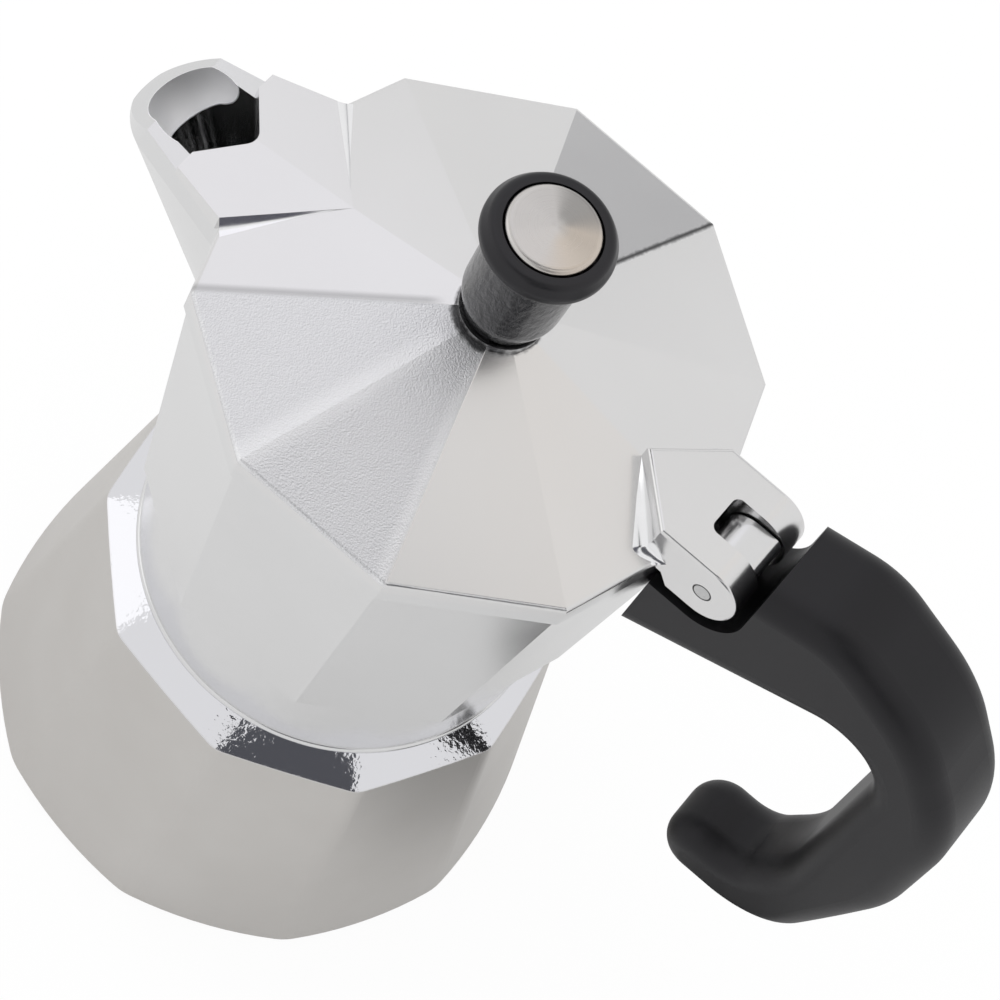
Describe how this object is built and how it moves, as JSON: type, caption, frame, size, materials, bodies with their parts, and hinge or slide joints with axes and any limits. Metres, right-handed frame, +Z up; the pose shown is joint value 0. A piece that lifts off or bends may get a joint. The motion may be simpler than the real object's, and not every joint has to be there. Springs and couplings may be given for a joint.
{
  "type": "stove-top moka pot",
  "caption": "Stove-top coffee maker with a faceted steel boiler, a cast upper jug with spout, a hinged lid with knob, and a black hooked handle.",
  "frame": {"origin": "centre of the boiler's flat underside, on the pot's axis", "axes": "+Z up along the pot's axis, +X towards the hinge and handle, -X towards the spout, +Y to the left of someone looking from the axis towards the handle"},
  "size_m": [0.15, 0.0905, 0.1599],
  "materials": {
    "boiler_steel": "satin stainless steel, bright on the shoulder",
    "cast_aluminium": "polished cast aluminium",
    "funnel_aluminium": "satin spun aluminium",
    "gasket_rubber": "matt off-white rubber",
    "handle_plastic": "matt black heatproof plastic",
    "knob_plastic": "satin to glossy black heatproof plastic",
    "cap_steel": "spun brushed steel",
    "fastener_steel": "plain steel",
    "valve_brass": "turned brass",
    "valve_seal": "red-brown fibre washer"
  },
  "bodies": {
    "base": {"boiler": "boiler_steel", "funnel": "funnel_aluminium", "funnel_sieve": "funnel_aluminium", "valve_body": "valve_brass", "valve_washer": "valve_seal", "valve_nut": "valve_brass", "valve_plug": "valve_brass", "valve_spring": "fastener_steel"},
    "relief_pin": {"valve_pin": "valve_brass"},
    "seal": {"gasket": "gasket_rubber", "filter_plate": "funnel_aluminium"},
    "jug": {"collector": "cast_aluminium", "handle": "handle_plastic", "handle_screw": "fastener_steel", "handle_washer": "fastener_steel"},
    "cover": {"lid": "cast_aluminium", "hinge_pin": "fastener_steel", "knob": "knob_plastic", "knob_cap": "cap_steel", "knob_insert": "valve_brass", "knob_screw": "fastener_steel", "knob_washer": "fastener_steel"}
  },
  "joints": [
    {"name": "valve_slide", "type": "slide", "parent": "base", "child": "relief_pin", "axis": [0.1729, 0.9708, 0.1664], "range_m": [0, 0.002], "stiffness_N_per_m": 800, "springref_m": -0.002, "deforming": ["valve_spring"]},
    {"name": "collector_rise", "type": "slide", "parent": "base", "child": "seal", "axis": [0, 0, 1], "range_m": [0, 0.006]},
    {"name": "collector_turn", "type": "hinge", "parent": "seal", "child": "jug", "pos_m": [0, 0, 0], "axis": [0, 0, 1], "range_deg": [0, 720]},
    {"name": "lid_hinge", "type": "hinge", "parent": "jug", "child": "cover", "pos_m": [0.044, 0, 0.1282], "axis": [0, 1, 0], "range_deg": [0, 95]}
  ],
  "couplings": [
    {"joint": "collector_rise", "follows": "collector_turn", "m_per_rad": 0.00047746}
  ]
}
